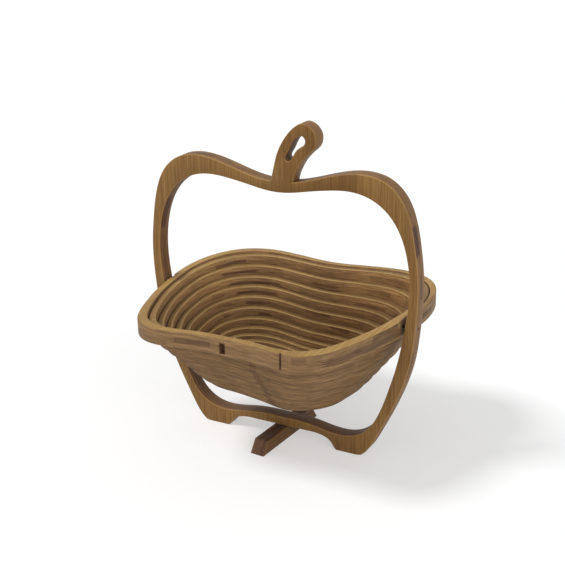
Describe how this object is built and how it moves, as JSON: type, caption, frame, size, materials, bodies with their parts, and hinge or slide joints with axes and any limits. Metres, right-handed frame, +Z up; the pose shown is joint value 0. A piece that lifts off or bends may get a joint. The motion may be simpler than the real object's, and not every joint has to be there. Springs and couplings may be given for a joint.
{
  "type": "folding basket",
  "caption": "Apple-shaped wooden frame that stands on its edge, with a spiral-cut bowl that hangs in it on two pins and folds flat into it.",
  "frame": {"origin": "on the ground, under the middle of the frame", "axes": "+X along the frame to the right, +Y to the back, +Z up; the frame's board lies in the XZ plane"},
  "size_m": [0.2676, 0.2279, 0.3011],
  "materials": {
    "frame_wood": "satin oiled",
    "bowl_wood": "satin oiled",
    "steel": "brushed"
  },
  "bodies": {
    "handle_frame": {"handle_frame": "frame_wood", "pivot_pin_left": "steel", "pivot_pin_right": "steel", "foot_screw": "steel"},
    "bowl_rim": {"bowl_rim": "bowl_wood"},
    "spiral_turn_01": {"spiral_turn_01": "bowl_wood"},
    "spiral_turn_02": {"spiral_turn_02": "bowl_wood"},
    "spiral_turn_03": {"spiral_turn_03": "bowl_wood"},
    "spiral_turn_04": {"spiral_turn_04": "bowl_wood"},
    "spiral_turn_05": {"spiral_turn_05": "bowl_wood"},
    "spiral_turn_06": {"spiral_turn_06": "bowl_wood"},
    "spiral_turn_07": {"spiral_turn_07": "bowl_wood"},
    "spiral_turn_08": {"spiral_turn_08": "bowl_wood"},
    "spiral_turn_09": {"spiral_turn_09": "bowl_wood"},
    "spiral_turn_10": {"spiral_turn_10": "bowl_wood"},
    "spiral_turn_11": {"spiral_turn_11": "bowl_wood", "bowl_base": "bowl_wood"},
    "cross_foot": {"cross_foot": "frame_wood"}
  },
  "joints": [
    {"name": "bowl_fold", "type": "hinge", "parent": "handle_frame", "child": "bowl_rim", "pos_m": [0, 0, 0.131], "axis": [1, 0, 0], "range_deg": [0, 90]},
    {"name": "turn_01_rise", "type": "slide", "parent": "bowl_rim", "child": "spiral_turn_01", "axis": [0, 0, 1], "range_m": [0, 0.00412]},
    {"name": "turn_02_rise", "type": "slide", "parent": "spiral_turn_01", "child": "spiral_turn_02", "axis": [0, 0, 1], "range_m": [0, 0.0097]},
    {"name": "turn_03_rise", "type": "slide", "parent": "spiral_turn_02", "child": "spiral_turn_03", "axis": [0, 0, 1], "range_m": [0, 0.00929]},
    {"name": "turn_04_rise", "type": "slide", "parent": "spiral_turn_03", "child": "spiral_turn_04", "axis": [0, 0, 1], "range_m": [0, 0.0078]},
    {"name": "turn_05_rise", "type": "slide", "parent": "spiral_turn_04", "child": "spiral_turn_05", "axis": [0, 0, 1], "range_m": [0, 0.00826]},
    {"name": "turn_06_rise", "type": "slide", "parent": "spiral_turn_05", "child": "spiral_turn_06", "axis": [0, 0, 1], "range_m": [0, 0.0086]},
    {"name": "turn_07_rise", "type": "slide", "parent": "spiral_turn_06", "child": "spiral_turn_07", "axis": [0, 0, 1], "range_m": [0, 0.0081]},
    {"name": "turn_08_rise", "type": "slide", "parent": "spiral_turn_07", "child": "spiral_turn_08", "axis": [0, 0, 1], "range_m": [0, 0.00644]},
    {"name": "turn_09_rise", "type": "slide", "parent": "spiral_turn_08", "child": "spiral_turn_09", "axis": [0, 0, 1], "range_m": [0, 0.00419]},
    {"name": "turn_10_rise", "type": "slide", "parent": "spiral_turn_09", "child": "spiral_turn_10", "axis": [0, 0, 1], "range_m": [0, 0.00302]},
    {"name": "turn_11_rise", "type": "slide", "parent": "spiral_turn_10", "child": "spiral_turn_11", "axis": [0, 0, 1], "range_m": [0, 0.00549]},
    {"name": "foot_swivel", "type": "hinge", "parent": "handle_frame", "child": "cross_foot", "pos_m": [0, 0, 0.006], "axis": [0, 0, -1], "range_deg": [0, 86]}
  ],
  "couplings": [
    {"joint": "turn_01_rise", "follows": "bowl_fold", "m_per_rad": 0.00262},
    {"joint": "turn_02_rise", "follows": "bowl_fold", "m_per_rad": 0.006175},
    {"joint": "turn_03_rise", "follows": "bowl_fold", "m_per_rad": 0.005913},
    {"joint": "turn_04_rise", "follows": "bowl_fold", "m_per_rad": 0.004964},
    {"joint": "turn_05_rise", "follows": "bowl_fold", "m_per_rad": 0.005255},
    {"joint": "turn_06_rise", "follows": "bowl_fold", "m_per_rad": 0.005477},
    {"joint": "turn_07_rise", "follows": "bowl_fold", "m_per_rad": 0.005156},
    {"joint": "turn_08_rise", "follows": "bowl_fold", "m_per_rad": 0.004098},
    {"joint": "turn_09_rise", "follows": "bowl_fold", "m_per_rad": 0.002667},
    {"joint": "turn_10_rise", "follows": "bowl_fold", "m_per_rad": 0.001925},
    {"joint": "turn_11_rise", "follows": "bowl_fold", "m_per_rad": 0.003491}
  ]
}
